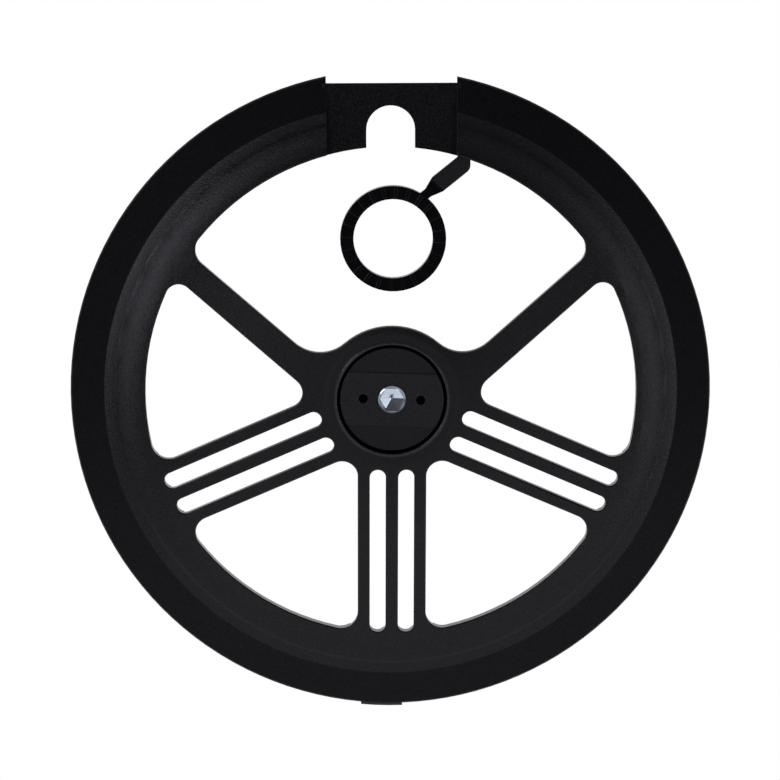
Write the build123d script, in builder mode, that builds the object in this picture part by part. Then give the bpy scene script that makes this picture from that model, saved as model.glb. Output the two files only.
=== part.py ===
"""Dished bicycle chain guard disc with its hub insert and hub bolt.

The disc stands upright: its axis lies along Y, its front faces -Y and the crank gap is at the top (+Z).
The origin is on the axis, at the rear face of the hub. A depth is measured towards the front from the
rear plane of the rim, so depth d lies at Y = hub_rear_depth - d. All sizes are in millimetres.
"""
import os
from math import atan, cos, hypot, radians, sin, sqrt, tan

from build123d import *

# Rim, from its edge inwards: a flange that slopes up to a crease, then a flatter band with a small step
rim_radius = 117.5
rim_edge_height = 1.1
rim_edge_bevel = 0.5
rim_wall = 2.6
flange_width = 12.5
flange_rise = 4.5
outer_band_width = 3.7
step_width = 1.0
step_height = 0.3
inner_band_width = 7.3
band_rise = 2.3
rim_inner_margin = 3.15
lip_width = 2.5
lip_depth = 5.6
lip_root = 1.6
gate_width = 15.2
gate_height = 0.85
gate_thickness = 0.9
gate_shift = -3.7

# Spoke cone and hub
spoke_thickness = 4.0
hub_rise = 20.1
hub_flat_width = 2.85
hub_blend = 9.0
hub_arc_margin = 2.4
hub_arc_fillet = 14.0
cup_radius = 19.9
cup_depth = 3.5
cup_floor_thickness = 3.0
cup_wall = 2.5
bead_height = 0.7
bead_width = 1.0
bead_foot = 0.25
bead_bevel = 0.25
hub_hole_radius = 8.15

# Spoke layout as seen from the front: angles from +X, offsets to the left of the outward direction
single_angle = 39.45
single_upper_offset = -6.9
single_width = 10.1
triple_angle = -25.3
middle_bar_width = 4.5
slot_width = 5.85
outer_bar_width = 4.35
slot_root_margin = 2.0
slot_end_margin = 0.7
rim_corner = 6.3
single_corner = 5.0
hub_corner = 5.6
opening_bevel = 0.45

# Gap for the crank at the top of the rim, and the plate behind it
gap_half_width = 23.98
gap_shift = 0.62
gap_draft = 0.41
gap_wall = 2.4
plate_thickness = 2.5
plate_drop = 4.95
plate_overhang = 0.35
notch_width = 17.8
notch_shift = 0.25
notch_depth = 14.7

# Spacer ring on its break-off tab
ring_x = 0.97
ring_drop = 33.65
ring_bore_radius = 14.5
ring_wall = 4.85
ring_rear_depth = 3.0
ring_thickness = 4.0
rib_count = 24
rib_width = 1.1
rib_height = 0.35
rib_margin = 0.45
rib_turn = 86.5
tab_angle = 38.0
tab_fold_right = 16.25
tab_fold_rise = 19.8
tab_width = 6.5
tab_thickness = 2.0
tab_step = 0.4
tab_setback_slope = 0.13
tab_right_reach = 28.3
tab_outer_corner = 3.2
tab_shoulder_round = 2.2
tab_neck_width = 3.4
tab_neck_shift = -0.3
tab_neck_reach = 4.6
tab_neck_round = 2.5

# Insert in the hub cup
insert_gap = 1.2
insert_thickness = 3.0
insert_band_width = 19.2
insert_band_height = 0.6
insert_turn = -1.9
boss_clearance = 0.15
pin_hole_radius = 1.65
pin_hole_pitch = 20.8

# Hub bolt, M6 with a cylinder head
socket_across_flats = 8.0
socket_depth = 3.5
socket_point = 1.5
socket_tip_across_flats = 0.1
socket_corner_wall = 0.35
bolt_head_height = 6.0
bolt_head_bevel = 0.5
bolt_head_clearance = 0.13
bolt_seat = 1.6
bolt_thread_radius = 3.0
bolt_thread_depth = 0.35
bolt_hole_clearance = 0.3
bolt_thread_length = 10.4
bolt_tip = 0.6

# Radii and depths that follow from the sizes above
crease_radius = rim_radius - flange_width
step_radius = crease_radius - outer_band_width - step_width
band_radius = step_radius - inner_band_width
rim_inner_radius = band_radius - rim_inner_margin
crease_depth = rim_edge_height + flange_rise
band_depth = crease_depth + band_rise
hub_face_depth = band_depth + hub_rise
bead_radius = cup_radius + bead_width
hub_flat_radius = bead_radius + bead_foot + hub_flat_width
hub_arc_radius = hub_flat_radius + hub_arc_margin
cup_floor_depth = hub_face_depth - cup_depth
hub_rear_depth = cup_floor_depth - cup_floor_thickness
cone_slope = hub_rise / (band_radius - hub_flat_radius)
band_slope = (band_rise - step_height) / (crease_radius - band_radius)
flange_slope = flange_rise / flange_width
single_lower_offset = single_upper_offset - single_width
slot_offset = (middle_bar_width + slot_width) / 2
triple_half_width = middle_bar_width / 2 + slot_width + outer_bar_width
slot_inner_reach = hub_flat_radius + slot_root_margin
slot_outer_reach = rim_inner_radius - slot_end_margin
plate_top = rim_radius - plate_drop
notch_top = rim_inner_radius + notch_depth
ring_z = rim_inner_radius - ring_drop
ring_outer_radius = ring_bore_radius + ring_wall
tab_fold_x = ring_x + tab_fold_right
tab_fold_z = ring_z + tab_fold_rise
tab_right = ring_x + tab_right_reach
tab_front_depth = ring_rear_depth + ring_thickness - tab_step
bolt_head_radius = socket_across_flats / 2 / cos(radians(30)) + socket_corner_wall
bolt_waist_radius = bolt_thread_radius - bolt_thread_depth
bolt_hole_radius = bolt_thread_radius + bolt_hole_clearance
through = 2 * rim_radius
edge_steps = 6
face_tolerance = 0.02
hub_blend_reach = hub_blend * tan(atan(cone_slope) / 2)


def side(depth):
    """Y of a depth measured from the rear plane of the rim."""
    return hub_rear_depth - depth


def front_plane(depth):
    """Upright plane that faces the front, at a depth."""
    return Plane.XZ.offset(depth - hub_rear_depth)


def section_point(radius, depth):
    """Point of a turned section: radius across, depth turned into Y."""
    return (radius, side(depth))


def cone_depth(radius):
    """Depth of the spokes' front face at a radius."""
    return band_depth + cone_slope * (band_radius - radius)


def edge_point(angle, offset, along):
    """Point of a spoke edge: along its outward direction from the axis, offset to its left."""
    turn = radians(angle)
    return (along * cos(turn) - offset * sin(turn), along * sin(turn) + offset * cos(turn))


def edge_at_radius(edge, radius):
    """Point where a spoke edge, an (angle, offset) pair, crosses a circle about the axis."""
    angle, offset = edge
    return edge_point(angle, offset, sqrt(radius**2 - offset**2))


def edges_cross(first, second):
    """Point where two spoke edges meet near the hub."""
    turn = radians(first[0] - second[0])
    along = (second[1] - first[1] * cos(turn)) / sin(turn)
    return edge_point(first[0], first[1], along)


def mid_arc(start, end, radius):
    """Point half-way along the short arc about the axis between two points."""
    x = start[0] + end[0]
    z = start[1] + end[1]
    scale = radius / hypot(x, z)
    return (x * scale, z * scale)


def round_corners(sketch, corners):
    """Round the sketch's vertex nearest to each point with that point's radius."""
    for point, radius in corners:
        fillet(sketch.vertices().sort_by_distance(Vector(*point))[:1], radius)


# Section of the turned body: rim, spoke cone and hub cup
outer_band_depth = crease_depth + band_slope * (crease_radius - step_radius - step_width)
inner_band_depth = crease_depth + band_slope * (crease_radius - step_radius) + step_height
rim_section = [
    section_point(rim_radius, 0),
    section_point(rim_radius, rim_edge_height - rim_edge_bevel),
    section_point(rim_radius - rim_edge_bevel, rim_edge_height + flange_slope * rim_edge_bevel),
    section_point(crease_radius, crease_depth),
    section_point(step_radius + step_width, outer_band_depth),
    section_point(step_radius, inner_band_depth),
    section_point(band_radius, band_depth),
]
bead_depth = hub_face_depth + bead_height
hub_section = [
    section_point(hub_flat_radius, hub_face_depth),
    section_point(bead_radius + bead_foot, hub_face_depth),
    section_point(bead_radius, bead_depth - bead_bevel),
    section_point(bead_radius - bead_bevel, bead_depth),
    section_point(cup_radius + bead_bevel, bead_depth),
    section_point(cup_radius, bead_depth - bead_bevel),
    section_point(cup_radius, cup_floor_depth),
    section_point(hub_hole_radius, cup_floor_depth),
    section_point(hub_hole_radius, hub_rear_depth),
]
lip_radius = rim_inner_radius + lip_width
lip_inner_radius = rim_inner_radius - lip_root
lip_rear_depth = cone_depth(rim_inner_radius) - lip_depth
flange_drop = rim_wall * sqrt(1 + flange_slope**2)
flange_rear_radius = rim_radius - (flange_drop - rim_edge_height) / flange_slope
rear_section = [
    section_point(cup_radius + cup_wall, hub_rear_depth),
    section_point(cup_radius + cup_wall, hub_face_depth - spoke_thickness),
    section_point(hub_flat_radius, hub_face_depth - spoke_thickness),
    section_point(lip_inner_radius, cone_depth(lip_inner_radius) - spoke_thickness),
    section_point(lip_inner_radius, lip_rear_depth),
    section_point(lip_radius, lip_rear_depth),
    section_point(lip_radius, cone_depth(lip_radius) - rim_wall),
    section_point(crease_radius, crease_depth - flange_drop),
    section_point(flange_rear_radius, 0),
]

with BuildPart() as turned_body:
    with BuildSketch() as body_section:
        with BuildLine():
            Polyline(*rim_section, *hub_section, *rear_section, close=True)
        make_face()
        round_corners(body_section, [(hub_section[0], hub_blend)])
    revolve(axis=Axis.Y)


def window(first, second, first_corner, second_corner):
    """Opening between two spoke edges and the rim, with rounded corners, and its mirror image."""
    apex = edges_cross(first, second)
    start = edge_at_radius(first, rim_inner_radius)
    end = edge_at_radius(second, rim_inner_radius)
    with BuildSketch(Plane.XZ) as opening:
        with BuildLine():
            Line(apex, start)
            ThreePointArc(start, mid_arc(start, end, rim_inner_radius), end)
            Line(end, apex)
        make_face()
        round_corners(opening, [(apex, hub_corner), (start, first_corner), (end, second_corner)])
        mirror(about=Plane.YZ)
    return opening.sketch


# Edges of the spokes on the right, and of the downward spoke
single_upper = (single_angle, single_upper_offset)
single_lower = (single_angle, single_lower_offset)
triple_upper = (triple_angle, triple_half_width)
triple_lower = (triple_angle, -triple_half_width)
down_angle = -90.0
down_right = (down_angle, triple_half_width)

side_windows = window(single_lower, triple_upper, single_corner, rim_corner)
low_windows = window(triple_lower, down_right, rim_corner, rim_corner)

# Top opening: the rim, the two single spokes and the round hub between them
with BuildSketch(Plane.XZ) as top_window:
    right_foot = edge_at_radius(single_upper, hub_arc_radius)
    right_rim = edge_at_radius(single_upper, rim_inner_radius)
    left_foot = (-right_foot[0], right_foot[1])
    left_rim = (-right_rim[0], right_rim[1])
    with BuildLine():
        Line(right_foot, right_rim)
        ThreePointArc(right_rim, (0, rim_inner_radius), left_rim)
        Line(left_rim, left_foot)
        ThreePointArc(left_foot, (0, hub_arc_radius), right_foot)
    make_face()
    top_corners = [
        (right_foot, hub_arc_fillet),
        (left_foot, hub_arc_fillet),
        (right_rim, rim_corner),
        (left_rim, rim_corner),
    ]
    round_corners(top_window, top_corners)

# Slots that part each triple spoke into three bars
slot_length = slot_outer_reach - slot_inner_reach
slot_middle = (slot_outer_reach + slot_inner_reach) / 2
with BuildSketch(Plane.XZ) as spoke_slots:
    for angle in (triple_angle, down_angle):
        for offset in (slot_offset, -slot_offset):
            with Locations(edge_point(angle, offset, slot_middle)):
                SlotOverall(slot_length, slot_width, rotation=angle)
    mirror(about=Plane.YZ)

# Sides of the gap in the rim, which open slightly outwards
gap_foot = rim_inner_radius - gap_half_width
gap_reach = rim_radius + gap_wall
gap_foot_half_width = gap_half_width - gap_draft
gap_frame = Plane((gap_shift, 0, 0), x_dir=(1, 0, 0), z_dir=(0, -1, 0))

with BuildSketch(gap_frame) as gap:
    with BuildLine():
        Polyline(
            (gap_foot_half_width, gap_foot),
            (gap_half_width, gap_reach),
            (-gap_half_width, gap_reach),
            (-gap_foot_half_width, gap_foot),
            close=True,
        )
    make_face()

# Walls that close the rim's two ends at the gap, from the front face down to the rear plane
with BuildPart() as gap_walls:
    with BuildSketch():
        with BuildLine():
            wall_foot = rim_inner_radius - lip_width
            inner_front = section_point(wall_foot, cone_depth(wall_foot))
            Polyline(*rim_section, inner_front, section_point(wall_foot, 0), close=True)
        make_face()
    revolve(axis=Axis.Y)
    with BuildSketch(gap_frame):
        with BuildLine():
            Polyline(
                (gap_foot_half_width, gap_foot),
                (gap_half_width, gap_reach),
                (gap_half_width + gap_wall, gap_reach),
                (gap_foot_half_width + gap_wall, gap_foot),
                close=True,
            )
        make_face()
        mirror(about=Plane.YZ)
    extrude(amount=through, both=True, mode=Mode.INTERSECT)

# Plate across the gap, flush with the rear plane of the rim, with its U notch
notch_centre = notch_top - notch_width / 2
with BuildPart() as gap_plate:
    with BuildSketch(front_plane(0)):
        with Locations((gap_shift, plate_top / 2)):
            Rectangle(2 * gap_half_width + gap_wall, plate_top)
        Circle(rim_inner_radius - plate_overhang, mode=Mode.SUBTRACT)
        with Locations((notch_shift, notch_centre)):
            Circle(notch_width / 2, mode=Mode.SUBTRACT)
        with Locations((notch_shift, notch_centre / 2)):
            Rectangle(notch_width, notch_centre, mode=Mode.SUBTRACT)
    extrude(amount=plate_thickness)

# Trimmed moulding gate at the bottom of the rim's edge
gate_radius = rim_radius + gate_height
with BuildPart() as gate:
    with BuildSketch(front_plane(0)):
        with Locations((gate_shift, -gate_radius / 2)):
            Rectangle(gate_width, gate_radius)
        Circle(gate_radius, mode=Mode.INTERSECT)
        Circle(rim_radius - gate_thickness, mode=Mode.SUBTRACT)
    extrude(amount=gate_thickness)

# Spacer ring with radial ribs on its front face
ring_middle = (ring_bore_radius + ring_outer_radius) / 2
with BuildPart() as spacer_ring:
    with BuildSketch(front_plane(ring_rear_depth)):
        with Locations((ring_x, ring_z)):
            Circle(ring_outer_radius)
            Circle(ring_bore_radius, mode=Mode.SUBTRACT)
    extrude(amount=ring_thickness)
    with BuildSketch(front_plane(ring_rear_depth + ring_thickness)):
        with Locations((ring_x, ring_z)):
            with PolarLocations(ring_middle, rib_count, start_angle=rib_turn):
                Rectangle(ring_outer_radius - ring_bore_radius - 2 * rib_margin, rib_width)
    extrude(amount=rib_height)


def tab_point(along, left):
    """Point of the tab: along it from its fold towards the rim, and to the left of that."""
    x, z = edge_point(tab_angle, left, along)
    return (tab_fold_x + x, tab_fold_z + z)


def tab_end(left):
    """How far along the tab one of its long edges meets its upright right side."""
    turn = radians(tab_angle)
    return (tab_right - tab_fold_x + left * sin(turn)) / cos(turn)


# Break-off tab from the rim's inner lip to the ring: its outline as seen, cut to its bent side view
ring_along = tab_fold_right * cos(radians(tab_angle)) + tab_fold_rise * sin(radians(tab_angle))
ring_across = tab_fold_rise * cos(radians(tab_angle)) - tab_fold_right * sin(radians(tab_angle))
tab_reach = ring_along - sqrt(ring_middle**2 - ring_across**2)
neck_left = tab_neck_shift + tab_neck_width / 2
neck_right = tab_neck_shift - tab_neck_width / 2
tab_outline = [
    tab_point(tab_end(tab_width / 2), tab_width / 2),
    tab_point(0, tab_width / 2),
    tab_point(-tab_neck_reach, neck_left),
    tab_point(-tab_reach, neck_left),
    tab_point(-tab_reach, neck_right),
    tab_point(-tab_neck_reach, neck_right),
    tab_point(0, -tab_width / 2),
    tab_point(tab_end(-tab_width / 2), -tab_width / 2),
]
with BuildPart() as tab:
    with BuildSketch(Plane.XZ) as tab_sketch:
        with BuildLine():
            Polyline(*tab_outline, close=True)
        make_face()
        tab_corners = [
            (tab_outline[1], tab_shoulder_round),
            (tab_outline[2], tab_neck_round),
            (tab_outline[5], tab_neck_round),
            (tab_outline[6], tab_shoulder_round),
            (tab_outline[7], tab_outer_corner),
        ]
        round_corners(tab_sketch, tab_corners)
        Circle(rim_inner_radius + lip_width / 2, mode=Mode.INTERSECT)
    extrude(amount=through, both=True)
    turn = radians(tab_angle)
    fold_line = Vector(tab_fold_x, hub_rear_depth, tab_fold_z)
    with BuildSketch(Plane(fold_line, x_dir=(cos(turn), 0, sin(turn)), z_dir=(sin(turn), 0, -cos(turn)))):
        with BuildLine():
            root_depth = tab_front_depth - tab_setback_slope * rim_inner_radius
            Polyline(
                (-tab_reach, tab_front_depth),
                (0, tab_front_depth),
                (rim_inner_radius, root_depth),
                (rim_inner_radius, root_depth - tab_thickness),
                (0, tab_front_depth - tab_thickness),
                (-tab_reach, tab_front_depth - tab_thickness),
                close=True,
            )
        make_face()
    extrude(amount=through, both=True, mode=Mode.INTERSECT)


def spread(edge):
    """Points along an edge, and their distances from the disc's axis."""
    points = [edge.position_at(step / edge_steps) for step in range(edge_steps + 1)]
    return points, [hypot(point.X, point.Z) for point in points]


def edges_opening(edge):
    """Whether an edge runs round one of the openings, on the front face of the spokes."""
    points, radii = spread(edge)
    if min(radii) < hub_flat_radius + hub_blend_reach or max(radii) > rim_inner_radius + face_tolerance:
        return False
    return all(abs(point.Y - side(cone_depth(radius))) < face_tolerance for point, radius in zip(points, radii))


# The disc as moulded, in one piece, with the front edges of its openings eased
with BuildPart() as guard_disc:
    add(turned_body.part)
    add(gap_walls.part)
    extrude(top_window.sketch, amount=through, both=True, mode=Mode.SUBTRACT)
    extrude(side_windows, amount=through, both=True, mode=Mode.SUBTRACT)
    extrude(low_windows, amount=through, both=True, mode=Mode.SUBTRACT)
    extrude(spoke_slots.sketch, amount=through, both=True, mode=Mode.SUBTRACT)
    chamfer(guard_disc.edges().filter_by(edges_opening), opening_bevel)
    extrude(gap.sketch, amount=through, both=True, mode=Mode.SUBTRACT)
    add(gap_plate.part)
    add(gate.part)
    add(spacer_ring.part)
    add(tab.part)
guard_disc.part.label = "guard_disc"

# Insert: a round plate with a raised band, and a boss that fills the hole in the cup floor
insert_radius = cup_radius - insert_gap
boss_radius = hub_hole_radius - boss_clearance
boss_length = cup_floor_depth - hub_rear_depth
with BuildPart() as hub_insert:
    with BuildSketch(front_plane(hub_rear_depth)):
        Circle(boss_radius)
    extrude(amount=boss_length)
    with BuildSketch(front_plane(cup_floor_depth)):
        Circle(insert_radius)
    extrude(amount=insert_thickness)
    with BuildSketch(front_plane(cup_floor_depth + insert_thickness)):
        Rectangle(2 * insert_radius, insert_band_width, rotation=insert_turn)
        Circle(insert_radius, mode=Mode.INTERSECT)
    extrude(amount=insert_band_height)
    with BuildSketch(front_plane(hub_rear_depth)):
        Circle(bolt_hole_radius)
        with PolarLocations(pin_hole_pitch / 2, 2, start_angle=insert_turn):
            Circle(pin_hole_radius)
    extrude(amount=through, mode=Mode.SUBTRACT)
    with BuildSketch(front_plane(hub_rear_depth + bolt_seat)):
        Circle(bolt_head_radius + bolt_head_clearance)
    extrude(amount=through, mode=Mode.SUBTRACT)
hub_insert.part.label = "hub_insert"

# Bolt: cylinder head with a hexagon socket, a waist through the insert and a free threaded end
head_seat_depth = hub_rear_depth + bolt_seat
head_top_depth = head_seat_depth + bolt_head_height
socket_floor_depth = head_top_depth - socket_depth
bolt_section = [
    section_point(0, head_top_depth),
    section_point(bolt_head_radius - bolt_head_bevel, head_top_depth),
    section_point(bolt_head_radius, head_top_depth - bolt_head_bevel),
    section_point(bolt_head_radius, head_seat_depth),
    section_point(bolt_waist_radius, head_seat_depth),
    section_point(bolt_waist_radius, hub_rear_depth),
    section_point(bolt_thread_radius, hub_rear_depth),
    section_point(bolt_thread_radius, hub_rear_depth - bolt_thread_length + bolt_tip),
    section_point(bolt_thread_radius - bolt_tip, hub_rear_depth - bolt_thread_length),
    section_point(0, hub_rear_depth - bolt_thread_length),
]
with BuildPart() as hub_bolt:
    with BuildSketch():
        with BuildLine():
            Polyline(*bolt_section, close=True)
        make_face()
    revolve(axis=Axis.Y)
    with BuildSketch(front_plane(socket_floor_depth)):
        RegularPolygon(socket_across_flats / 2, 6, major_radius=False)
    extrude(amount=bolt_head_height, mode=Mode.SUBTRACT)
    with BuildSketch(front_plane(socket_floor_depth)):
        RegularPolygon(socket_across_flats / 2, 6, major_radius=False)
    with BuildSketch(front_plane(socket_floor_depth - socket_point)):
        RegularPolygon(socket_tip_across_flats / 2, 6, major_radius=False)
    loft(mode=Mode.SUBTRACT)
hub_bolt.part.label = "hub_bolt"

os.makedirs("parts", exist_ok=True)
export_step(guard_disc.part, "parts/guard_disc.step")
export_step(hub_insert.part, "parts/hub_insert.step")
export_step(hub_bolt.part, "parts/hub_bolt.step")
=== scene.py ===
"""Black moulded chain guard disc for a bicycle, dressed for a studio picture.

The solids come packed, in metres, with the disc's axis along Y and its front towards -Y. This file gives
each piece its finish, winds the turns of the hub bolt's thread and sets the stage.
"""

from math import cos, radians, sin

import bmesh
import bpy
from bpy.props import FloatProperty, FloatVectorProperty, IntProperty, PointerProperty
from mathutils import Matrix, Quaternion, Vector


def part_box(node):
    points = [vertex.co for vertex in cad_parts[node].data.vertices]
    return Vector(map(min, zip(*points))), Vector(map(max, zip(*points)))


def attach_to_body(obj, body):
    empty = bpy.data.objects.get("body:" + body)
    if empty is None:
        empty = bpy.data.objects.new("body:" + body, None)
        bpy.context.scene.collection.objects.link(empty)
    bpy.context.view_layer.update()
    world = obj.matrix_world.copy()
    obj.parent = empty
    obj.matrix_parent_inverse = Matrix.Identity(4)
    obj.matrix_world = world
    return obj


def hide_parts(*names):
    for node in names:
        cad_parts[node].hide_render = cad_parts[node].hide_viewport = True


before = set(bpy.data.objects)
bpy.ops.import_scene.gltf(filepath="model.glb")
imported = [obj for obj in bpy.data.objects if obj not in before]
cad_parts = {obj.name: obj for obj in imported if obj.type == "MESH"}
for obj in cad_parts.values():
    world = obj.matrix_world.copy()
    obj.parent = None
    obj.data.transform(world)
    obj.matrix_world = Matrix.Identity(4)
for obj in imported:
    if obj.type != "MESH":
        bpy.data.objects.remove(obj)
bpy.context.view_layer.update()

bl_info = {
    "name": "Chain Guard Disc",
    "version": (1, 0, 0),
    "blender": (4, 5, 0),
    "location": "View3D > Sidebar > Chain Guard",
    "description": "Finishes for a moulded bicycle chain guard disc, its hub insert and its hub bolt",
    "category": "Object",
}

BODY = "root"
MM = 0.001
# Corners of a solid's facets that are closer than this are one point.
WELD = 0.002 * MM
# Times a place, this leaves what lies across the disc's axis.
OFF_AXIS = (1, 0, 1)
WHITE = (1, 1, 1, 1)


def linear(colour):
    """Linear RGBA of an sRGB hex colour such as #1a1a1c."""
    parts = [int(colour[i:i + 2], 16) / 255 for i in (1, 3, 5)]
    return [c / 12.92 if c <= 0.04045 else ((c + 0.055) / 1.055) ** 2.4 for c in parts] + [1.0]


def put(tree, kind, inputs=None, **settings):
    """Add a node with its settings; an input is a value, a node's output, or a node for its first output."""
    node = tree.nodes.new(kind)
    for name, value in settings.items():
        setattr(node, name, value)
    for name, value in (inputs or {}).items():
        if isinstance(value, bpy.types.Node):
            value = value.outputs[0]
        if isinstance(value, bpy.types.NodeSocket):
            tree.links.new(value, node.inputs[name])
        else:
            node.inputs[name].default_value = value
    return node


def new_material(name):
    """Material with an empty node tree."""
    material = bpy.data.materials.new(name)
    material.use_nodes = True
    material.node_tree.nodes.clear()
    return material, material.node_tree


def new_geometry_tree(name, inputs):
    """Geometry node tree with named inputs and one output, and the sockets that give those inputs."""
    tree = bpy.data.node_groups.new(name, "GeometryNodeTree")
    for label, kind in inputs.items():
        tree.interface.new_socket(label, in_out="INPUT", socket_type=kind)
    tree.interface.new_socket("Geometry", in_out="OUTPUT", socket_type="NodeSocketGeometry")
    return tree, put(tree, "NodeGroupInput").outputs


def attach(piece, tree, values):
    """Put a node tree on a piece and set its inputs."""
    modifier = piece.modifiers.new(tree.name, "NODES")
    modifier.node_group = tree
    for item in tree.interface.items_tree:
        if item.in_out == "INPUT" and item.name in values:
            modifier[item.identifier] = values[item.name]


def make_plain(context, piece):
    """Turn a piece and its modifiers into a plain mesh."""
    context.view_layer.update()
    evaluated = piece.evaluated_get(context.evaluated_depsgraph_get())
    mesh = bpy.data.meshes.new_from_object(evaluated)
    mesh.name = piece.name
    piece.modifiers.clear()
    piece.data = mesh


def dress(piece, material):
    """Give a piece its only material."""
    piece.data.materials.clear()
    piece.data.materials.append(material)


def colour_setting(name, description, shade):
    """Colour, given as sRGB hex."""
    return FloatVectorProperty(
        name=name, description=description, default=linear(shade), subtype="COLOR", size=4, min=0.0, max=1.0)


def length_setting(name, description, millimetres):
    """Length, given in millimetres."""
    return FloatProperty(
        name=name, description=description, default=millimetres * MM, unit="LENGTH", precision=6)


def place_setting(name, description, millimetres):
    """Place in the frame, given in millimetres."""
    return FloatVectorProperty(
        name=name, description=description, default=[v * MM for v in millimetres], subtype="TRANSLATION",
        unit="LENGTH", precision=6)


def angle_setting(name, description, degrees):
    """Angle, given in degrees."""
    return FloatProperty(name=name, description=description, default=radians(degrees), subtype="ANGLE")


def power_setting(name, description, watts):
    """Power of a lamp."""
    return FloatProperty(name=name, description=description, default=watts, unit="POWER")


def share_setting(name, description, share):
    """Share of one, such as roughness."""
    return FloatProperty(
        name=name, description=description, default=share, subtype="FACTOR", min=0.0, max=1.0)


class PlasticFinish(bpy.types.PropertyGroup):
    """Colours, grain, gloss and regions of the two black mouldings."""
    black: colour_setting("Black", "Colour of the disc's plastic", "#09090b")
    pale_black: colour_setting("Paler black", "Paler specks of the disc", "#0f0f12")
    coarse_black: colour_setting("Coarse black", "Colour of the flange, the plate and the ring", "#050507")
    coarse_pale: colour_setting("Paler coarse black", "Paler specks of the flange and the plate", "#0a0a0c")
    insert_black: colour_setting("Insert black", "Colour of the insert", "#0b0b0d")
    sheen: colour_setting("Sheen", "Bluish tint of the gloss on black plastic", "#f3f1ff")
    # Painted shade: black put in the hub cup and the two pin holes, where shade falls
    painted_shade_black: colour_setting("Unlit black", "Bare black in the hub cup and in the pin holes", "#040405")
    tag_grey: colour_setting("Tag grey", "Cut plastic of the gate tag", "#2d282d")

    grain: length_setting("Grain", "Size of the fine grain", 0.5)
    coarse_grain: length_setting("Coarse grain", "Size of the flange's grain", 0.6)
    grain_height: length_setting("Grain height", "Depth of the grain", 0.05)
    edge_round: length_setting("Edge round", "Tiny round on every moulded edge", 0.25)
    smooth_angle: angle_setting("Smooth angle", "Edges flatter than this are shaded as one surface", 7.0)
    hub_smooth_angle: angle_setting("Hub smooth angle", "The same on the hub and the soft ridge", 24.0)

    hub_roughness: share_setting("Hub roughness", "Roughness of the hub", 0.42)
    band_roughness: share_setting("Band roughness", "Roughness of the rim's two bands", 0.25)
    flange_roughness: share_setting("Flange roughness", "Roughness of the flange", 0.36)
    plate_roughness: share_setting("Plate roughness", "Roughness of the plate", 0.5)
    bare_roughness: share_setting("Bare roughness", "Roughness of the ring and its tab", 0.16)
    bead_roughness: share_setting("Bead roughness", "Roughness of the bead round the cup", 0.2)
    hub_gloss: share_setting("Hub gloss", "Specular level of the hub", 0.17)
    band_gloss: share_setting("Band gloss", "Specular level of the spokes and the rim's two bands", 0.21)
    flange_gloss: share_setting("Flange gloss", "Specular level of the flange", 0.11)
    plate_gloss: share_setting("Plate gloss", "Specular level of the plate", 0.08)
    ring_gloss: share_setting("Ring gloss", "Specular level of the ring", 0.06)
    bead_gloss: share_setting("Bead gloss", "Specular level of the bead", 0.5)
    lip_gloss: share_setting("Lip gloss", "Added at the rim's lip", 0.1)
    edge_gloss: share_setting("Edge gloss", "Added on the moulded edges", 0.3)

    hub_radius: length_setting("Hub radius", "Radius that holds the insert and the bolt", 26.0)
    cup_radius: length_setting("Cup radius", "Radius of the unlit cup behind the insert", 19.95)
    cup_floor: length_setting("Cup floor", "Just behind the front of the cup's floor", -2.9)
    bead_radius: length_setting("Bead radius", "Outer radius of the smooth bead round the cup", 21.2)
    hub_spread: length_setting("Hub spread", "Radius at which the hub's roughness starts to fade", 45.0)
    band_spread: length_setting("Band spread", "Radius at which the bands' roughness is reached", 80.0)
    hub_sheen: length_setting("Hub sheen", "Radius at which the hub's gloss starts to rise", 25.0)
    spoke_sheen: length_setting("Spoke sheen", "Radius at which the spokes' gloss is reached", 50.0)
    window_radius: length_setting("Window radius", "Radius of the windows' outer ends", 89.6)
    ridge_radius: length_setting("Ridge radius", "Radius of the soft ridge between the rim's bands", 100.6)
    ridge_width: length_setting("Ridge width", "Half the width of that ridge", 1.0)
    flange_radius: length_setting("Flange radius", "Radius of the crease", 105.0)
    rim_radius: length_setting("Rim radius", "Radius outside which only the gate tag stands", 117.56)
    lip_width: length_setting("Lip width", "Width of the rim's lip", 0.56)
    gap_middle: length_setting("Gap middle", "Middle of the crank gap, right of the axis", 0.62)
    gap_half_width: length_setting("Gap half width", "Half the width of the plate seen in the gap", 24.2)
    plate_front: length_setting("Plate front", "Front face of the plate in the gap", 18.7)
    plate_low: length_setting("Plate low edge", "Height over the axis above which the plate lies", 84.0)
    ring_centre: place_setting("Ring centre", "Centre of the spacer ring", (0.97, 0.0, 56.2))
    ring_radius: length_setting("Ring radius", "Radius of the smooth spacer ring and its neck", 25.4)
    tab_low: length_setting("Tab low end", "Height over the axis above which the ring's tab lies", 70.0)
    band_front: length_setting("Band front", "Depth that parts the insert's raised band", -6.3)
    pin_hole: place_setting("Pin hole", "Middle of the insert's right hole", (10.394, 0.0, -0.345))
    pin_hole_radius: length_setting("Pin hole radius", "Radius of the insert's two holes", 1.68)


class BoltFinish(bpy.types.PropertyGroup):
    """Plating and thread of the hub bolt."""
    zinc: colour_setting("Zinc", "Colour of the plating", "#d4dae6")
    zinc_shade: colour_setting("Zinc shade", "Bluer patches of the plating", "#b2c0d6")
    cloud: length_setting("Cloud", "Size of the bluer patches", 2.5)
    pitting: length_setting("Pitting", "Size of the plating's fine unevenness", 0.4)
    pitting_height: length_setting("Pitting height", "Depth of that unevenness", 0.02)
    pitch: length_setting("Pitch", "Rise of one turn", 1.0)
    crest_radius: length_setting("Crest radius", "Outer radius of the thread", 3.0)
    root_radius: length_setting("Root radius", "Radius of the core", 2.45)
    tip_bevel: length_setting("Tip bevel", "Bevel at the free end", 0.6)
    turn_points: IntProperty(name="Points a turn", description="Points in each turn", default=40, min=12)


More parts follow.
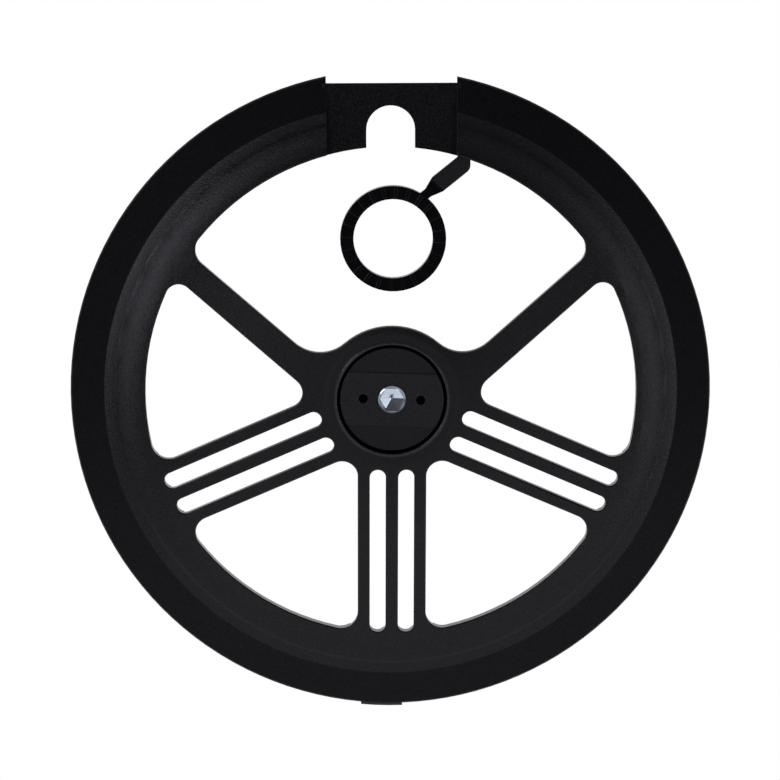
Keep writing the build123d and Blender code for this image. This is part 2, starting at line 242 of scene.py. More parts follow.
class StageSettings(bpy.types.PropertyGroup):
    """Camera, lamps, surround and floor."""
    distance: length_setting("Distance", "Camera distance", 1800.0)
    elevation: angle_setting("Elevation", "Camera height angle", 7.958)
    azimuth: angle_setting("Azimuth", "Camera angle to the side", -0.987)
    roll: angle_setting("Roll", "Camera roll", -0.16)
    lens: FloatProperty(name="Lens", description="Focal length", default=225.97, unit="CAMERA")
    target_depth: length_setting("Target", "Rear plane of the rim on the axis", 21.5)
    left_power: power_setting("Left softbox", "Power of the softbox left of the camera", 6.0)
    right_power: power_setting("Right softbox", "Power of the softbox right of the camera", 4.2)
    side_power: power_setting("Side softbox", "Power of the small softbox far right", 0.28)
    edge_power: power_setting("Edge softbox", "Power of the softbox high on the left", 6.0)
    room_light: share_setting("Room light", "Soft light from the room", 0.8)
    room_gloss: share_setting("Room gloss", "How bright the dark upper room looks in gloss", 0.08)
    table_gloss: share_setting("Table gloss", "How bright the lower room looks in gloss", 0.6)
    floor_white: colour_setting("Floor white", "Colour of the floor", "#f4f4f4")
    floor_drop: length_setting("Floor drop", "Floor below the axis", 300.0)
    floor_radius: length_setting("Floor radius", "Size of the floor", 700.0)


SHADING_INPUTS = {
    "Geometry": "NodeSocketGeometry",
    "Smooth Angle": "NodeSocketFloat",
    "Hub Smooth Angle": "NodeSocketFloat",
    "Hub Radius": "NodeSocketFloat",
    "Ridge Radius": "NodeSocketFloat",
    "Ridge Width": "NodeSocketFloat",
}


def smooth_shading(piece, finish, hub_radius=0.0):
    """Shade a piece's curved faces as one surface and leave its real edges sharp, with live modifiers."""
    tree, given = new_geometry_tree(piece.name + "_shading", SHADING_INPUTS)
    merged = put(tree, "GeometryNodeMergeByDistance", {"Geometry": given["Geometry"], "Distance": WELD})
    place = put(tree, "GeometryNodeInputPosition")
    flat = put(tree, "ShaderNodeVectorMath", {0: place, 1: OFF_AXIS}, operation="MULTIPLY")
    radius = put(tree, "ShaderNodeVectorMath", {0: flat}, operation="LENGTH").outputs["Value"]
    at_hub = put(tree, "ShaderNodeMath", {0: radius, 1: given["Hub Radius"]}, operation="LESS_THAN")
    at_ridge = put(
        tree, "ShaderNodeMath", {0: radius, 1: given["Ridge Radius"], 2: given["Ridge Width"]},
        operation="COMPARE")
    soft = put(tree, "ShaderNodeMath", {0: at_hub, 1: at_ridge}, operation="MAXIMUM")
    limit = put(tree, "ShaderNodeMix", {0: soft, 2: given["Smooth Angle"], 3: given["Hub Smooth Angle"]})
    angle = put(tree, "GeometryNodeInputMeshEdgeAngle").outputs["Unsigned Angle"]
    sharp = put(tree, "ShaderNodeMath", {0: angle, 1: limit}, operation="GREATER_THAN")
    smooth = put(
        tree, "GeometryNodeSetShadeSmooth", {"Geometry": merged, "Shade Smooth": True}, domain="FACE")
    edged = put(
        tree, "GeometryNodeSetShadeSmooth",
        {"Geometry": smooth, "Selection": sharp, "Shade Smooth": False}, domain="EDGE")
    put(tree, "NodeGroupOutput", {"Geometry": edged})
    attach(piece, tree, {
        "Smooth Angle": finish.smooth_angle,
        "Hub Smooth Angle": finish.hub_smooth_angle,
        "Hub Radius": hub_radius,
        "Ridge Radius": finish.ridge_radius,
        "Ridge Width": finish.ridge_width,
    })
    even = piece.modifiers.new("even_normals", "WEIGHTED_NORMAL")
    even.keep_sharp = True


# Noise that draws moulded grain, and the two ends of its values
GRAIN_NOISE = {"Detail": 2.0, "Roughness": 0.6}
GRAIN_SPAN = {1: 0.3, 2: 0.7}
# Middle of the grain, which bare plastic has everywhere
GRAIN_MIDDLE = 0.5
# Cosines of the turn at which a moulded edge starts and is full
EDGE_TURN = {1: 0.99, 2: 0.92}
# Blend at the crease and flat top of the soft ridge
CREASE_BLEND = 0.2 * MM
RIDGE_CREST = 0.2 * MM
# The ridge is rubbed smoother, and paler specks of the grain are rougher.
RIDGE_POLISH = -0.12
SPECK_ROUGHNESS = 0.06
# How far the grain changes the gloss, on the disc and on the plate
GRAIN_GLOSS = {3: 0.5, 4: 1.5}
# A face whose normal rises more than this looks up.
LOOKS_UP = 0.7
# Strength of the grain's relief on the disc, and none where it is bare
DISC_RELIEF = {3: 0.5, 4: 0.0}


def grained_polypropylene(finish):
    """Black polypropylene moulded against a spark-eroded tool: dull, with a fine sand-like grain.

    The flange and the plate in the gap are eroded more coarsely and look darker, and the spacer ring and its
    tab are nearly bare of grain. The real grain, about 0.1 mm, is too fine to show and is drawn coarser.
    """
    material, tree = new_material("grained_polypropylene")
    place = put(tree, "ShaderNodeTexCoord").outputs["Object"]
    across, depth, height = put(tree, "ShaderNodeSeparateXYZ", {0: place}).outputs
    flat = put(tree, "ShaderNodeVectorMath", {0: place, 1: OFF_AXIS}, operation="MULTIPLY")
    radius = put(tree, "ShaderNodeVectorMath", {0: flat}, operation="LENGTH").outputs["Value"]

    # The flange outside the crease, and the plate deep in the gap
    crease = {1: finish.flange_radius - CREASE_BLEND, 2: finish.flange_radius + CREASE_BLEND}
    flange = put(tree, "ShaderNodeMapRange", {0: radius, **crease})
    in_gap = put(
        tree, "ShaderNodeMath", {0: across, 1: finish.gap_middle, 2: finish.gap_half_width},
        operation="COMPARE")
    high = put(tree, "ShaderNodeMath", {0: height, 1: finish.plate_low}, operation="GREATER_THAN")
    deep = put(tree, "ShaderNodeMath", {0: depth, 1: finish.plate_front}, operation="GREATER_THAN")
    plate = put(tree, "ShaderNodeMath", {0: in_gap, 1: high}, operation="MULTIPLY")
    plate = put(tree, "ShaderNodeMath", {0: plate, 1: deep}, operation="MULTIPLY")
    coarse = put(tree, "ShaderNodeMath", {0: flange, 1: plate}, operation="MAXIMUM")

    # The spacer ring and its tab
    to_ring = put(tree, "ShaderNodeVectorMath", {0: flat, 1: finish.ring_centre}, operation="DISTANCE")
    ring = put(
        tree, "ShaderNodeMath", {0: to_ring.outputs["Value"], 1: finish.ring_radius}, operation="LESS_THAN")
    inside = put(tree, "ShaderNodeMath", {0: radius, 1: finish.window_radius}, operation="LESS_THAN")
    tab = put(tree, "ShaderNodeMath", {0: height, 1: finish.tab_low}, operation="GREATER_THAN")
    tab = put(tree, "ShaderNodeMath", {0: tab, 1: inside}, operation="MULTIPLY")
    bare = put(tree, "ShaderNodeMath", {0: ring, 1: tab}, operation="MAXIMUM")

    # The front of the hub's cup, painted black as shade, and of its bead, the gate tag, the rim's lip and
    # the soft ridge
    in_front = put(tree, "ShaderNodeMath", {0: depth, 1: finish.cup_floor}, operation="LESS_THAN")
    cup = put(tree, "ShaderNodeMath", {0: radius, 1: finish.cup_radius}, operation="LESS_THAN")
    cup = put(tree, "ShaderNodeMath", {0: cup, 1: in_front}, operation="MULTIPLY")
    bead = put(tree, "ShaderNodeMath", {0: radius, 1: finish.bead_radius}, operation="LESS_THAN")
    bead = put(tree, "ShaderNodeMath", {0: bead, 1: in_front}, operation="MULTIPLY")
    tag = put(tree, "ShaderNodeMath", {0: radius, 1: finish.rim_radius}, operation="GREATER_THAN")
    lip_start = finish.rim_radius - finish.lip_width
    lip = put(tree, "ShaderNodeMath", {0: radius, 1: lip_start}, operation="GREATER_THAN")
    off_ridge = put(tree, "ShaderNodeMath", {0: radius, 1: finish.ridge_radius}, operation="SUBTRACT")
    off_ridge = put(tree, "ShaderNodeMath", {0: off_ridge}, operation="ABSOLUTE")
    on_ridge = put(
        tree, "ShaderNodeMapRange", {0: off_ridge, 1: RIDGE_CREST, 2: finish.ridge_width, 3: 1.0, 4: 0.0})
    not_plate = put(tree, "ShaderNodeMath", {0: 1.0, 1: plate}, operation="SUBTRACT")
    ridge = put(tree, "ShaderNodeMath", {0: on_ridge, 1: not_plate}, operation="MULTIPLY")

    # Grain
    fine_noise = put(tree, "ShaderNodeTexNoise", {"Vector": place, "Scale": 1 / finish.grain, **GRAIN_NOISE})
    coarse_noise = put(
        tree, "ShaderNodeTexNoise", {"Vector": place, "Scale": 1 / finish.coarse_grain, **GRAIN_NOISE})
    grain = put(tree, "ShaderNodeMix", {0: coarse, 2: fine_noise, 3: coarse_noise})
    grain = put(tree, "ShaderNodeMapRange", {0: grain, **GRAIN_SPAN})
    grain = put(tree, "ShaderNodeMix", {0: bare, 2: grain, 3: GRAIN_MIDDLE})

    # Colour
    dark = put(tree, "ShaderNodeMix", {0: coarse, 6: finish.black, 7: finish.coarse_black}, data_type="RGBA")
    pale = put(
        tree, "ShaderNodeMix", {0: coarse, 6: finish.pale_black, 7: finish.coarse_pale}, data_type="RGBA")
    colour = put(tree, "ShaderNodeMix", {0: grain, 6: dark.outputs[2], 7: pale.outputs[2]}, data_type="RGBA")
    # The ring gets the coarse black, the gate tag its grey, and the cup plain black as painted shade.
    for region, shade in ((ring, finish.coarse_black), (tag, finish.tag_grey), (cup, finish.painted_shade_black)):
        colour = put(tree, "ShaderNodeMix", {0: region, 6: colour.outputs[2], 7: shade}, data_type="RGBA")

    # Tiny rounds on the moulded edges, which catch more light than the grained faces
    rounded = put(tree, "ShaderNodeBevel", {"Radius": finish.edge_round}, samples=8)
    facing = put(tree, "ShaderNodeNewGeometry").outputs["True Normal"]
    turn = put(
        tree, "ShaderNodeVectorMath", {0: rounded, 1: facing}, operation="DOT_PRODUCT").outputs["Value"]
    edge = put(tree, "ShaderNodeMapRange", {0: turn, **EDGE_TURN})

    # Roughness
    dull = put(
        tree, "ShaderNodeMapRange",
        {0: radius, 1: finish.hub_spread, 2: finish.band_spread, 3: finish.hub_roughness,
         4: finish.band_roughness})
    levels = (
        (flange, finish.flange_roughness),
        (plate, finish.plate_roughness),
        (bare, finish.bare_roughness),
        (bead, finish.bead_roughness),
    )
    for region, level in levels:
        dull = put(tree, "ShaderNodeMix", {0: region, 2: dull, 3: level})
    dull = put(tree, "ShaderNodeMath", {0: ridge, 1: RIDGE_POLISH, 2: dull}, operation="MULTIPLY_ADD")
    spread = put(tree, "ShaderNodeMath", {0: grain, 1: SPECK_ROUGHNESS, 2: dull}, operation="MULTIPLY_ADD")

    # Gloss
    shine = put(
        tree, "ShaderNodeMapRange",
        {0: radius, 1: finish.hub_sheen, 2: finish.spoke_sheen, 3: finish.hub_gloss, 4: finish.band_gloss})
    levels = (
        (flange, finish.flange_gloss),
        (plate, finish.plate_gloss),
        (ring, finish.ring_gloss),
    )
    for region, level in levels:
        shine = put(tree, "ShaderNodeMix", {0: region, 2: shine, 3: level})
    shine = put(tree, "ShaderNodeMath", {0: lip, 1: finish.lip_gloss, 2: shine}, operation="MULTIPLY_ADD")
    shine = put(tree, "ShaderNodeMix", {0: bead, 2: shine, 3: finish.bead_gloss})
    uneven = put(tree, "ShaderNodeMapRange", {0: plate, **GRAIN_GLOSS})
    speckle = put(tree, "ShaderNodeMath", {0: grain, 1: GRAIN_MIDDLE}, operation="SUBTRACT")
    speckle = put(tree, "ShaderNodeMath", {0: speckle, 1: uneven, 2: 1.0}, operation="MULTIPLY_ADD")
    shine = put(tree, "ShaderNodeMath", {0: shine, 1: speckle}, operation="MULTIPLY")
    shine = put(tree, "ShaderNodeMath", {0: edge, 1: finish.edge_gloss, 2: shine}, operation="MULTIPLY_ADD")
    # The plate's top edge and the cup behind the insert give no gloss, as painted shade.
    rise = put(tree, "ShaderNodeSeparateXYZ", {0: facing}).outputs[2]
    upward = put(tree, "ShaderNodeMath", {0: rise, 1: LOOKS_UP}, operation="GREATER_THAN")
    no_gloss_shade = put(tree, "ShaderNodeMath", {0: plate, 1: upward}, operation="MULTIPLY")
    no_gloss_shade = put(tree, "ShaderNodeMath", {0: no_gloss_shade, 1: cup}, operation="MAXIMUM")
    shine = put(tree, "ShaderNodeMix", {0: no_gloss_shade, 2: shine, 3: 0.0})

    relief = put(tree, "ShaderNodeMapRange", {0: bare, **DISC_RELIEF})
    bump = put(
        tree, "ShaderNodeBump",
        {"Strength": relief, "Distance": finish.grain_height, "Height": grain, "Normal": rounded})
    shader = put(
        tree, "ShaderNodeBsdfPrincipled",
        {"Base Color": colour.outputs[2], "Roughness": spread, "IOR": 1.49, "Specular IOR Level": shine,
         "Specular Tint": finish.sheen, "Normal": bump})
    put(tree, "ShaderNodeOutputMaterial", {"Surface": shader})
    return material


# Roughness and gloss of the insert, from the darkest to the palest specks, and the gloss added on its band
INSERT_ROUGHNESS = {3: 0.27, 4: 0.34}
INSERT_GLOSS = {3: 0.12, 4: 0.24}
BAND_RUB = 0.05
INSERT_RELIEF = 0.25


def satin_abs(finish):
    """Black ABS moulded against a fine satin tool: the hub insert, smoother than the disc.

    Its raised band is rubbed a little brighter, and its two holes get painted shade: black, with no gloss.
    """
    material, tree = new_material("satin_abs")
    place = put(tree, "ShaderNodeTexCoord").outputs["Object"]
    depth = put(tree, "ShaderNodeSeparateXYZ", {0: place}).outputs[1]
    flat = put(tree, "ShaderNodeVectorMath", {0: place, 1: OFF_AXIS}, operation="MULTIPLY")
    band = put(tree, "ShaderNodeMath", {0: depth, 1: finish.band_front}, operation="LESS_THAN")
    right = Vector(finish.pin_hole)
    to_right = put(tree, "ShaderNodeVectorMath", {0: flat, 1: right}, operation="DISTANCE").outputs["Value"]
    to_left = put(tree, "ShaderNodeVectorMath", {0: flat, 1: -right}, operation="DISTANCE").outputs["Value"]
    nearer = put(tree, "ShaderNodeMath", {0: to_right, 1: to_left}, operation="MINIMUM")
    hole = put(tree, "ShaderNodeMath", {0: nearer, 1: finish.pin_hole_radius}, operation="LESS_THAN")
    noise = put(tree, "ShaderNodeTexNoise", {"Vector": place, "Scale": 1 / finish.grain, **GRAIN_NOISE})
    grain = put(tree, "ShaderNodeMapRange", {0: noise, **GRAIN_SPAN})
    colour = put(
        tree, "ShaderNodeMix", {0: grain, 6: finish.insert_black, 7: finish.pale_black}, data_type="RGBA")
    # The two holes are painted black as shade, and further down they give no gloss.
    colour = put(
        tree, "ShaderNodeMix", {0: hole, 6: colour.outputs[2], 7: finish.painted_shade_black}, data_type="RGBA")
    rounded = put(tree, "ShaderNodeBevel", {"Radius": finish.edge_round}, samples=8)
    spread = put(tree, "ShaderNodeMapRange", {0: grain, **INSERT_ROUGHNESS})
    shine = put(tree, "ShaderNodeMapRange", {0: grain, **INSERT_GLOSS})
    shine = put(tree, "ShaderNodeMath", {0: band, 1: BAND_RUB, 2: shine}, operation="MULTIPLY_ADD")
    shine = put(tree, "ShaderNodeMix", {0: hole, 2: shine, 3: 0.0})
    bump = put(
        tree, "ShaderNodeBump",
        {"Strength": INSERT_RELIEF, "Distance": finish.grain_height, "Height": grain, "Normal": rounded})
    shader = put(
        tree, "ShaderNodeBsdfPrincipled",
        {"Base Color": colour.outputs[2], "Roughness": spread, "IOR": 1.53, "Specular IOR Level": shine,
         "Specular Tint": finish.sheen, "Normal": bump})
    put(tree, "ShaderNodeOutputMaterial", {"Surface": shader})
    return material


# Roughness of the plating from its smoothest to its dullest spots, and the strength of its relief
ZINC_ROUGHNESS = {3: 0.08, 4: 0.22}
ZINC_RELIEF = 0.15


def zinc_plated_steel(finish):
    """Steel with bright zinc plating and a blue passivation: a clean metal with a faint cloudy tint."""
    material, tree = new_material("zinc_plated_steel")
    place = put(tree, "ShaderNodeTexCoord").outputs["Object"]
    cloud = put(tree, "ShaderNodeTexNoise", {"Vector": place, "Scale": 1 / finish.cloud, "Detail": 3.0})
    pitting = put(tree, "ShaderNodeTexNoise", {"Vector": place, "Scale": 1 / finish.pitting, "Detail": 2.0})
    colour = put(tree, "ShaderNodeMix", {0: cloud, 6: finish.zinc, 7: finish.zinc_shade}, data_type="RGBA")
    spread = put(tree, "ShaderNodeMapRange", {0: pitting, **ZINC_ROUGHNESS})
    bump = put(
        tree, "ShaderNodeBump",
        {"Strength": ZINC_RELIEF, "Distance": finish.pitting_height, "Height": pitting})
    shader = put(
        tree, "ShaderNodeBsdfPrincipled",
        {"Base Color": colour.outputs[2], "Metallic": 1.0, "Roughness": spread, "Normal": bump})
    put(tree, "ShaderNodeOutputMaterial", {"Surface": shader})
    return material


class CHAINGUARD_OT_disc(bpy.types.Operator):
    """Give the moulded disc its grained black finish"""
    bl_idname = "chainguard.disc"
    bl_label = "Disc"

    def execute(self, context):
        finish = context.scene.chainguard_plastic
        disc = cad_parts["guard_disc"]
        dress(disc, grained_polypropylene(finish))
        smooth_shading(disc, finish)
        return {"FINISHED"}


class CHAINGUARD_OT_insert(bpy.types.Operator):
    """Give the hub insert its satin black finish"""
    bl_idname = "chainguard.insert"
    bl_label = "Hub insert"

    def execute(self, context):
        finish = context.scene.chainguard_plastic
        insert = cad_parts["hub_insert"]
        dress(insert, satin_abs(finish))
        smooth_shading(insert, finish, finish.hub_radius)
        return {"FINISHED"}


# The bolt's plain free end starts at the hub's rear face, give or take this.
FREE_END_SLACK = 0.01 * MM


def bolt_head(context, solid, material):
    """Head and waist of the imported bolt, closed where the plain free end is taken off."""
    mesh = bpy.data.meshes.new("bolt_head")
    work = bmesh.new()
    work.from_mesh(solid.data)
    bmesh.ops.remove_doubles(work, verts=work.verts, dist=WELD)
    free_end = [face for face in work.faces if min(v.co.y for v in face.verts) > -FREE_END_SLACK]
    bmesh.ops.delete(work, geom=free_end, context="FACES")
    rim = [edge for edge in work.edges if edge.is_boundary]
    bmesh.ops.contextual_create(work, geom=rim)
    work.to_mesh(mesh)
    work.free()
    head = bpy.data.objects.new("bolt_head", mesh)
    context.scene.collection.objects.link(head)
    dress(head, material)
    return head


THREAD_INPUTS = {
    "Length": "NodeSocketFloat",
    "Pitch": "NodeSocketFloat",
    "Crest Radius": "NodeSocketFloat",
    "Root Radius": "NodeSocketFloat",
    "Tip Bevel": "NodeSocketFloat",
    "Turn Points": "NodeSocketInt",
}
# Half the foot of the thread's ridge as a share of the pitch, and its flat crest as a share of the foot
FOOT_SHARE = 0.44
CREST_SHARE = 0.15
# How much the tip narrows over its bevel
TIP_TAPER = 0.6


def thread_tree(material):
    """Node tree for a bolt's free end: a core with a bevelled tip and a ridge that winds round it."""
    tree, given = new_geometry_tree("bolt_thread", THREAD_INPUTS)
    plain_length = put(
        tree, "ShaderNodeMath", {0: given["Length"], 1: given["Tip Bevel"]}, operation="SUBTRACT")
    ridge_length = put(tree, "ShaderNodeMath", {0: plain_length, 1: given["Pitch"]}, operation="SUBTRACT")
    turns = put(tree, "ShaderNodeMath", {0: ridge_length, 1: given["Pitch"]}, operation="DIVIDE")
    spiral = put(
        tree, "GeometryNodeCurveSpiral",
        {"Resolution": given["Turn Points"], "Rotations": turns, "Start Radius": given["Root Radius"],
         "End Radius": given["Root Radius"], "Height": ridge_length})
    upright = put(tree, "GeometryNodeSetCurveNormal", {0: spiral}, mode="Z_UP")

    # The section's first axis points to the bolt's middle, so the crest lies on its negative side.
    crest = put(
        tree, "ShaderNodeMath", {0: given["Root Radius"], 1: given["Crest Radius"]}, operation="SUBTRACT")
    foot_high = put(tree, "ShaderNodeMath", {0: given["Pitch"], 1: FOOT_SHARE}, operation="MULTIPLY")
    foot_low = put(tree, "ShaderNodeMath", {0: foot_high, 1: -1.0}, operation="MULTIPLY")
    crest_high = put(tree, "ShaderNodeMath", {0: foot_high, 1: CREST_SHARE}, operation="MULTIPLY")
    crest_low = put(tree, "ShaderNodeMath", {0: foot_high, 1: -CREST_SHARE}, operation="MULTIPLY")
    corners = {
        "Point 1": put(tree, "ShaderNodeCombineXYZ", {1: foot_low}),
        "Point 2": put(tree, "ShaderNodeCombineXYZ", {0: crest, 1: crest_low}),
        "Point 3": put(tree, "ShaderNodeCombineXYZ", {0: crest, 1: crest_high}),
        "Point 4": put(tree, "ShaderNodeCombineXYZ", {1: foot_high}),
    }
    section = put(tree, "GeometryNodeCurvePrimitiveQuadrilateral", corners, mode="POINTS")
    ridge = put(
        tree, "GeometryNodeCurveToMesh", {"Curve": upright, "Profile Curve": section, "Fill Caps": True})
    ridge = put(tree, "GeometryNodeFlipFaces", {0: ridge})

    core = put(
        tree, "GeometryNodeMeshCylinder",
        {"Vertices": given["Turn Points"], "Radius": given["Root Radius"], "Depth": plain_length})
    half_length = put(tree, "ShaderNodeMath", {0: plain_length, 1: 0.5}, operation="MULTIPLY")
    core_middle = put(tree, "ShaderNodeCombineXYZ", {2: half_length})
    core = put(tree, "GeometryNodeTransform", {0: core, "Translation": core_middle})

    narrowing = put(tree, "ShaderNodeMath", {0: given["Tip Bevel"], 1: TIP_TAPER}, operation="MULTIPLY")
    tip_radius = put(tree, "ShaderNodeMath", {0: given["Root Radius"], 1: narrowing}, operation="SUBTRACT")
    tip = put(
        tree, "GeometryNodeMeshCone",
        {"Vertices": given["Turn Points"], "Radius Top": tip_radius, "Radius Bottom": given["Root Radius"],
         "Depth": given["Tip Bevel"]})
    tip_foot = put(tree, "ShaderNodeCombineXYZ", {2: plain_length})
    tip = put(tree, "GeometryNodeTransform", {0: tip, "Translation": tip_foot})

    whole = put(tree, "GeometryNodeJoinGeometry")
    for part in (tip, core, ridge):
        tree.links.new(part.outputs[0], whole.inputs[0])
    along_axis = put(tree, "GeometryNodeTransform", {0: whole, "Rotation": (radians(-90), 0, 0)})
    real = put(tree, "GeometryNodeRealizeInstances", {0: along_axis})
    coloured = put(tree, "GeometryNodeSetMaterial", {0: real, "Material": material})
    put(tree, "NodeGroupOutput", {"Geometry": coloured})
    return tree


class CHAINGUARD_OT_bolt(bpy.types.Operator):
    """Make the zinc-plated hub bolt, with the turns of its thread"""
    bl_idname = "chainguard.bolt"
    bl_label = "Hub bolt"

    def execute(self, context):
        finish = context.scene.chainguard_bolt
        plastic = context.scene.chainguard_plastic
        material = zinc_plated_steel(finish)
        head = bolt_head(context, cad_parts["hub_bolt"], material)
        smooth_shading(head, plastic, plastic.hub_radius)
        make_plain(context, head)

        thread = bpy.data.objects.new("bolt_thread", bpy.data.meshes.new("bolt_thread"))
        context.scene.collection.objects.link(thread)
        attach(thread, thread_tree(material), {
            "Length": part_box("hub_bolt")[1].y,
            "Pitch": finish.pitch,
            "Crest Radius": finish.crest_radius,
            "Root Radius": finish.root_radius,
            "Tip Bevel": finish.tip_bevel,
            "Turn Points": finish.turn_points,
        })
        make_plain(context, thread)

        for piece in (head, thread):
            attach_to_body(piece, BODY)
        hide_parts("hub_bolt")
        return {"FINISHED"}


# The picture's side and the disc's axis in it, in pixels
IMAGE_SIDE = 780
AXIS_PIXEL = (390.595, 388.76)
# Width of the camera's sensor in millimetres, and how far the camera sees in metres
SENSOR_WIDTH = 36.0
SIGHT = 50.0


def make_camera(scene, stage, target):
    """Camera at the photograph's angle; the shift puts the axis on its own pixel."""
    data = bpy.data.cameras.new("camera")
    data.sensor_width = SENSOR_WIDTH
    data.lens = stage.lens
    data.shift_x = (IMAGE_SIDE / 2 - AXIS_PIXEL[0]) / IMAGE_SIDE
    data.shift_y = (AXIS_PIXEL[1] - IMAGE_SIDE / 2) / IMAGE_SIDE
    data.clip_end = SIGHT
    camera = bpy.data.objects.new("camera", data)
    scene.collection.objects.link(camera)
    level = cos(stage.elevation)
    away = Vector((sin(stage.azimuth) * level, -cos(stage.azimuth) * level, sin(stage.elevation)))
    camera.location = target + stage.distance * away
    camera.rotation_mode = "QUATERNION"
    aim = (-away).to_track_quat("-Z", "Y")
    camera.rotation_quaternion = aim @ Quaternion((0, 0, 1), stage.roll)
    scene.camera = camera


def make_lamps(scene, stage, target):
    """Softboxes on both sides of the camera, a small one far right for the bolt, one high left for edges."""
    # Name, power, width and height, and place
    lamps = (
        ("left_softbox", stage.left_power, (0.45, 0.45), Vector((-0.68, -2.08, 0.10))),
        ("right_softbox", stage.right_power, (0.45, 0.7), Vector((0.82, -2.02, -0.17))),
        ("side_softbox", stage.side_power, (0.26, 0.26), Vector((1.186, -1.564, 0.385))),
        ("edge_softbox", stage.edge_power, (1.0, 1.0), Vector((-1.6, -0.35, 1.2))),
    )
    for name, power, size, place in lamps:
        data = bpy.data.lights.new(name, "AREA")
        data.shape = "RECTANGLE"
        data.size, data.size_y = size
        data.energy = power
        lamp = bpy.data.objects.new(name, data)
        lamp.location = place
        lamp.rotation_mode = "QUATERNION"
        lamp.rotation_quaternion = (target - place).to_track_quat("-Z", "Y")
        scene.collection.objects.link(lamp)


# Rise of the view from the dim upper room down to the table, and turn from the dim front to the white rear
ROOM_TO_TABLE = {1: 0.05, 2: -0.45}
FRONT_TO_REAR = {1: -0.3, 2: 0.2}


def make_surround(scene, stage):
    """White surround, seen by the camera and in gloss; the room in front of the object is dim in gloss."""
    world = bpy.data.worlds.new("studio")
    scene.world = world
    world.use_nodes = True
    tree = world.node_tree
    tree.nodes.clear()
    rays = put(tree, "ShaderNodeLightPath").outputs
    heading = put(tree, "ShaderNodeTexCoord").outputs["Generated"]
    toward = put(tree, "ShaderNodeSeparateXYZ", {0: heading}).outputs
    front = put(
        tree, "ShaderNodeMapRange",
        {0: toward[2], **ROOM_TO_TABLE, 3: stage.room_gloss, 4: stage.table_gloss})
    gloss = put(tree, "ShaderNodeMapRange", {0: toward[1], **FRONT_TO_REAR, 3: front, 4: 1.0})
    mirrored = put(
        tree, "ShaderNodeMath", {0: rays["Is Glossy Ray"], 1: rays["Is Transmission Ray"]},
        operation="MAXIMUM")
    strength = put(tree, "ShaderNodeMix", {0: mirrored, 2: stage.room_light, 3: gloss})
    strength = put(tree, "ShaderNodeMix", {0: rays["Is Camera Ray"], 2: strength, 3: 1.0})
    light = put(tree, "ShaderNodeBackground", {"Color": WHITE, "Strength": strength})
    put(tree, "ShaderNodeOutputWorld", {"Surface": light})


# Where the floor starts to fade and is gone, as shares of its radius, and how white it looks before that
FADE_START = 0.35
FADE_END = 0.97
FLOOR_GLOW = 0.55
FLOOR_SIDES = 96


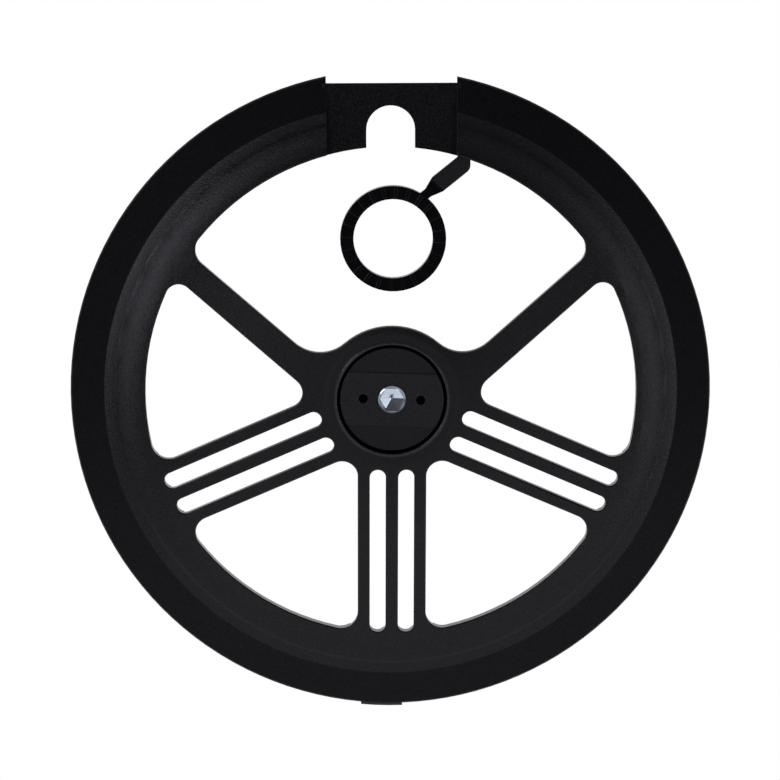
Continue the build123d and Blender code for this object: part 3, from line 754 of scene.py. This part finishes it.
def make_floor(scene, stage):
    """Round white floor that keeps the object's shadow and fades into the surround at its edge."""
    mesh = bpy.data.meshes.new("floor")
    work = bmesh.new()
    bmesh.ops.create_circle(work, cap_ends=True, segments=FLOOR_SIDES, radius=stage.floor_radius)
    bmesh.ops.translate(work, verts=work.verts, vec=(0, 0, -stage.floor_drop))
    work.to_mesh(mesh)
    work.free()
    # White card: dull, and lit by itself where the camera or a mirror sees it.
    material, tree = new_material("white_card")
    rays = put(tree, "ShaderNodeLightPath").outputs
    place = put(tree, "ShaderNodeTexCoord").outputs["Object"]
    flat = put(tree, "ShaderNodeVectorMath", {0: place, 1: (1, 1, 0)}, operation="MULTIPLY")
    radius = put(tree, "ShaderNodeVectorMath", {0: flat}, operation="LENGTH").outputs["Value"]
    fade = {1: FADE_START * stage.floor_radius, 2: FADE_END * stage.floor_radius}
    glow = put(tree, "ShaderNodeMapRange", {0: radius, **fade, 3: FLOOR_GLOW, 4: 1.0})
    seen = put(
        tree, "ShaderNodeMath", {0: rays["Is Glossy Ray"], 1: rays["Is Transmission Ray"]},
        operation="MAXIMUM")
    seen = put(tree, "ShaderNodeMath", {0: rays["Is Camera Ray"], 1: seen}, operation="MAXIMUM")
    share = put(tree, "ShaderNodeMath", {0: seen, 1: glow}, operation="MULTIPLY")
    card = put(tree, "ShaderNodeBsdfDiffuse", {"Color": stage.floor_white})
    white = put(tree, "ShaderNodeEmission", {"Color": WHITE, "Strength": 1.0})
    mixed = put(tree, "ShaderNodeMixShader", {0: share, 1: card, 2: white})
    put(tree, "ShaderNodeOutputMaterial", {"Surface": mixed})
    mesh.materials.append(material)
    floor = bpy.data.objects.new("floor", mesh)
    scene.collection.objects.link(floor)


class CHAINGUARD_OT_stage(bpy.types.Operator):
    """Set the camera, the four softboxes, the white surround and the floor"""
    bl_idname = "chainguard.stage"
    bl_label = "Stage"

    def execute(self, context):
        scene = context.scene
        stage = scene.chainguard_stage
        target = Vector((0, stage.target_depth, 0))
        make_camera(scene, stage, target)
        make_lamps(scene, stage, target)
        make_surround(scene, stage)
        make_floor(scene, stage)
        scene.view_settings.view_transform = "Standard"
        return {"FINISHED"}


GROUPS = (
    ("chainguard_plastic", PlasticFinish),
    ("chainguard_bolt", BoltFinish),
    ("chainguard_stage", StageSettings),
)
OPERATORS = (CHAINGUARD_OT_disc, CHAINGUARD_OT_insert, CHAINGUARD_OT_bolt, CHAINGUARD_OT_stage)


class CHAINGUARD_PT_panel(bpy.types.Panel):
    """Sizes, colours and steps of the chain guard"""
    bl_idname = "CHAINGUARD_PT_panel"
    bl_label = "Chain guard"
    bl_space_type = "VIEW_3D"
    bl_region_type = "UI"
    bl_category = "Chain Guard"

    def draw(self, context):
        layout = self.layout
        for name, kind in GROUPS:
            box = layout.box()
            for setting in kind.__annotations__:
                box.prop(getattr(context.scene, name), setting)
        for operator in OPERATORS:
            layout.operator(operator.bl_idname)


def register():
    """Register the settings, the steps and the panel."""
    for name, group in GROUPS:
        bpy.utils.register_class(group)
        setattr(bpy.types.Scene, name, PointerProperty(type=group))
    for operator in OPERATORS:
        bpy.utils.register_class(operator)
    bpy.utils.register_class(CHAINGUARD_PT_panel)


def unregister():
    """Undo register."""
    bpy.utils.unregister_class(CHAINGUARD_PT_panel)
    for operator in reversed(OPERATORS):
        bpy.utils.unregister_class(operator)
    for name, group in reversed(GROUPS):
        delattr(bpy.types.Scene, name)
        bpy.utils.unregister_class(group)


def main():
    """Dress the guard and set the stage."""
    register()
    bpy.ops.chainguard.disc()
    bpy.ops.chainguard.insert()
    bpy.ops.chainguard.bolt()
    bpy.ops.chainguard.stage()


if __name__ == "__main__":
    main()
